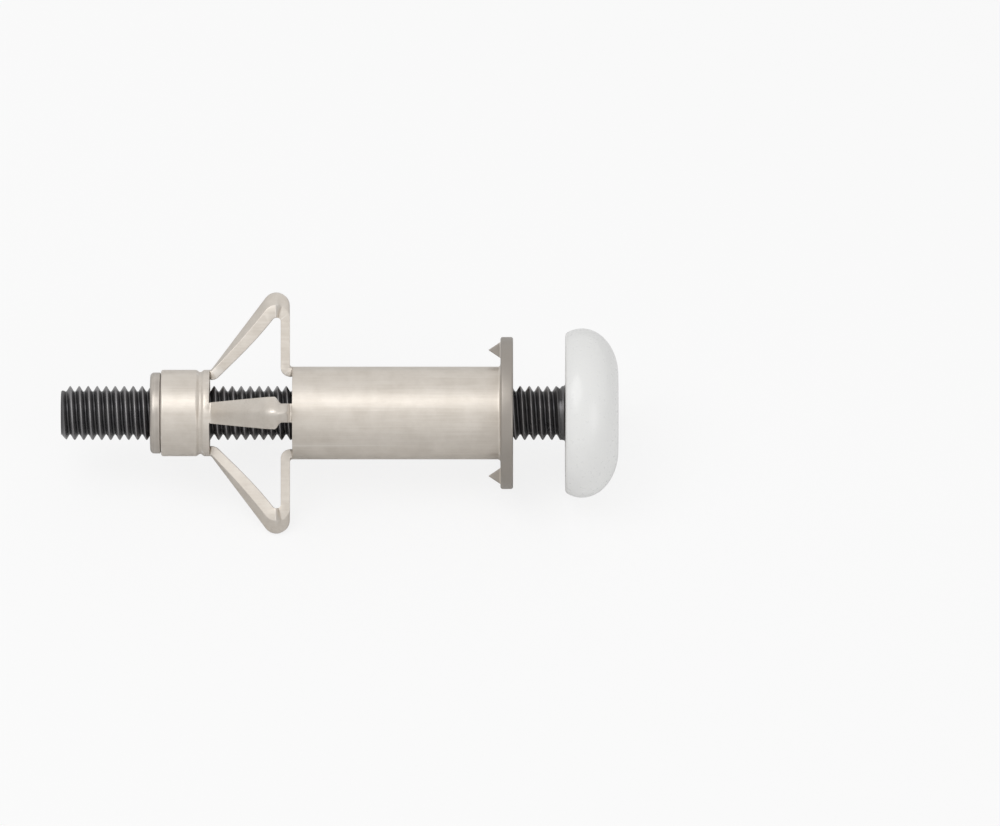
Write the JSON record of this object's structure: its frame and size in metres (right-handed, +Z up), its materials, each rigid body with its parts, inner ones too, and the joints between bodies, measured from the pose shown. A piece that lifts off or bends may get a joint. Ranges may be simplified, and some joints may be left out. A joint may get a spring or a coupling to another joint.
{
  "type": "hollow wall anchor",
  "caption": "Hollow wall anchor, shown set: a pressed sleeve with legs folded behind the wall, a crimped nut and a domed screw that clamps a fixture.",
  "frame": {"origin": "on the anchor's axis, halfway between the screw's tip and the end of its head", "axes": "+X along the anchor's axis towards the head, +Z up as the anchor lies at rest on its legs and head"},
  "size_m": [0.062, 0.0194, 0.0194],
  "materials": {
    "plated_sheet": "satin zinc plating, warm beige",
    "plated_nut": "satin zinc plating, warm beige",
    "dark_steel": "dark oiled steel, white enamel on the head"
  },
  "bodies": {
    "sleeve": {"anchor_sleeve": "plated_sheet", "threaded_nut": "plated_nut"},
    "screw": {"screw": "dark_steel"}
  },
  "joints": [
    {"name": "screw_travel", "type": "slide", "parent": "sleeve", "child": "screw", "axis": [1, 0, 0], "range_m": [-0.0057, 0.0142]}
  ]
}
